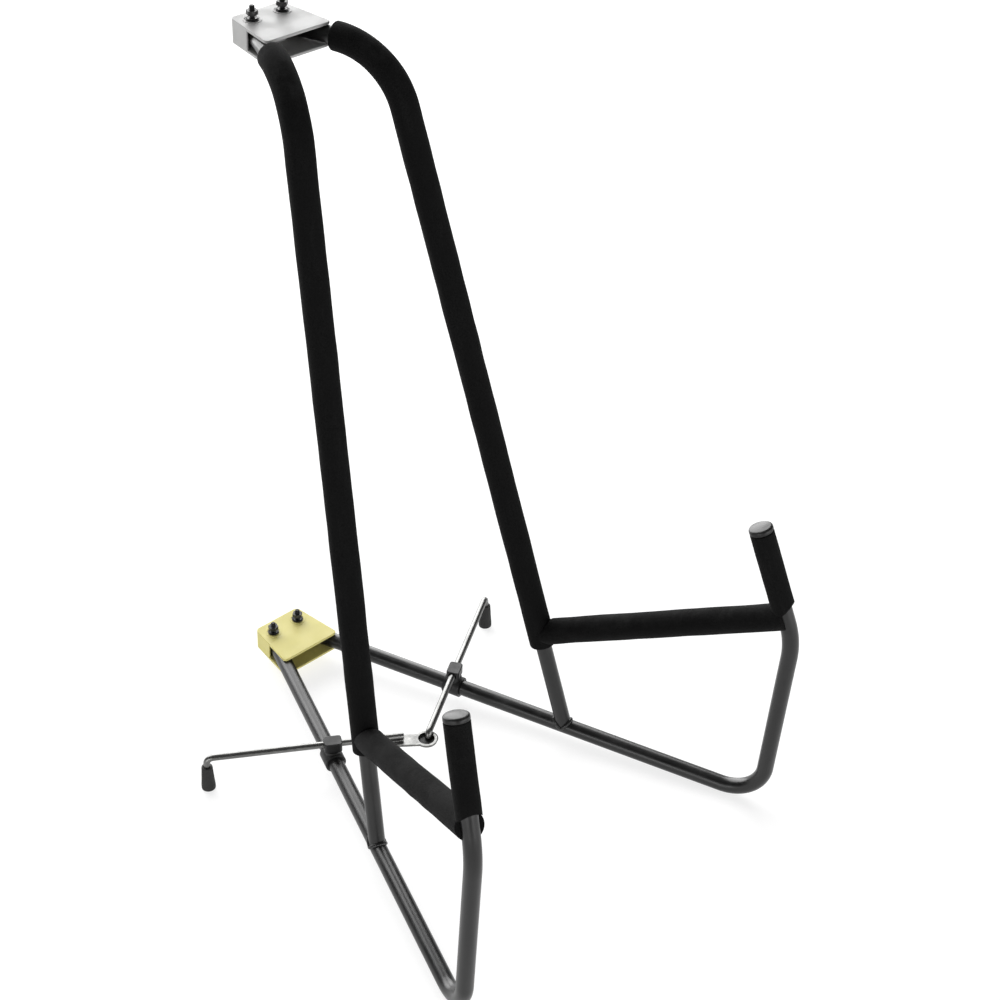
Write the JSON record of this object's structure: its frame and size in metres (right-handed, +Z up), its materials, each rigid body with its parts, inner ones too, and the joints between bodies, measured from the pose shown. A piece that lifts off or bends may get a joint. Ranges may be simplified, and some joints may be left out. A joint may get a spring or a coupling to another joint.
{
  "type": "folding guitar stand",
  "caption": "Folding tubular stand: two hinged bent-tube side frames with padded back, arm and hook, two yokes and a folding wire outrigger with rubber tips.",
  "frame": {"origin": "on the floor, under the middle of the stand's width and depth", "axes": "+Z up, the open cradle facing -Y, the hinged yokes at +Y, +X to the right as seen from the front"},
  "size_m": [0.2508, 0.3166, 0.4396],
  "materials": {
    "gloss_black": "gloss black powder coat on steel tube",
    "foam_black": "matte black foam-rubber sleeve",
    "yellow_plastic": "pale yellow moulded plastic, satin",
    "white_plastic": "light grey-white moulded plastic, satin",
    "black_plastic": "black moulded plastic, satin",
    "black_steel": "blackened steel fastener",
    "bright_steel": "plated steel wire, satin grey",
    "rubber": "black rubber"
  },
  "bodies": {
    "root": {"lower_yoke": "yellow_plastic", "upper_yoke": "white_plastic", "lower_left_hinge_bolt": "black_steel", "lower_left_hinge_washer": "black_steel", "lower_left_hinge_nut": "black_steel", "lower_right_hinge_bolt": "black_steel", "lower_right_hinge_washer": "black_steel", "lower_right_hinge_nut": "black_steel", "upper_left_hinge_bolt": "black_steel", "upper_left_hinge_washer": "black_steel", "upper_left_hinge_nut": "black_steel", "upper_right_hinge_bolt": "black_steel", "upper_right_hinge_washer": "black_steel", "upper_right_hinge_nut": "black_steel"},
    "left_frame": {"left_frame_tube": "gloss_black", "left_back_tube": "gloss_black", "left_arm_tube": "gloss_black", "left_back_pad": "foam_black", "left_arm_pad": "foam_black", "left_hook_pad": "foam_black", "left_hook_plug": "black_plastic", "left_wire_collar": "black_plastic"},
    "left_wire_leg": {"left_swivel_block": "black_plastic", "left_wire": "bright_steel", "left_rubber_tip": "rubber", "left_eye_plate": "bright_steel"},
    "right_frame": {"right_frame_tube": "gloss_black", "right_back_tube": "gloss_black", "right_arm_tube": "gloss_black", "right_back_pad": "foam_black", "right_arm_pad": "foam_black", "right_hook_pad": "foam_black", "right_hook_plug": "black_plastic", "right_wire_collar": "black_plastic"},
    "right_wire_leg": {"right_swivel_block": "black_plastic", "right_wire": "bright_steel", "right_rubber_tip": "rubber", "right_pin_cap": "black_steel"}
  },
  "joints": [
    {"name": "left_fold", "type": "hinge", "parent": "root", "child": "left_frame", "pos_m": [-0.0097, 0.14855, 0.01427], "axis": [0, -0.0349, 0.9994], "range_deg": [0, 20.3]},
    {"name": "right_fold", "type": "hinge", "parent": "root", "child": "right_frame", "pos_m": [0.0097, 0.14855, 0.01427], "axis": [0, -0.0349, 0.9994], "range_deg": [-20.3, 0]},
    {"name": "left_swivel", "type": "hinge", "parent": "left_frame", "child": "left_wire_leg", "pos_m": [-0.04887, 0.04273, 0.01057], "axis": [0, -0.0349, 0.9994], "range_deg": [-68.98, 0]},
    {"name": "right_swivel", "type": "hinge", "parent": "right_frame", "child": "right_wire_leg", "pos_m": [0.04887, 0.04273, 0.01057], "axis": [0, -0.0349, 0.9994], "range_deg": [0, 68.98]}
  ],
  "couplings": [
    {"joint": "right_fold", "follows": "left_fold", "ratio": -1},
    {"joint": "left_swivel", "follows": "left_fold", "ratio": -3.393},
    {"joint": "right_swivel", "follows": "left_fold", "ratio": 3.393}
  ]
}
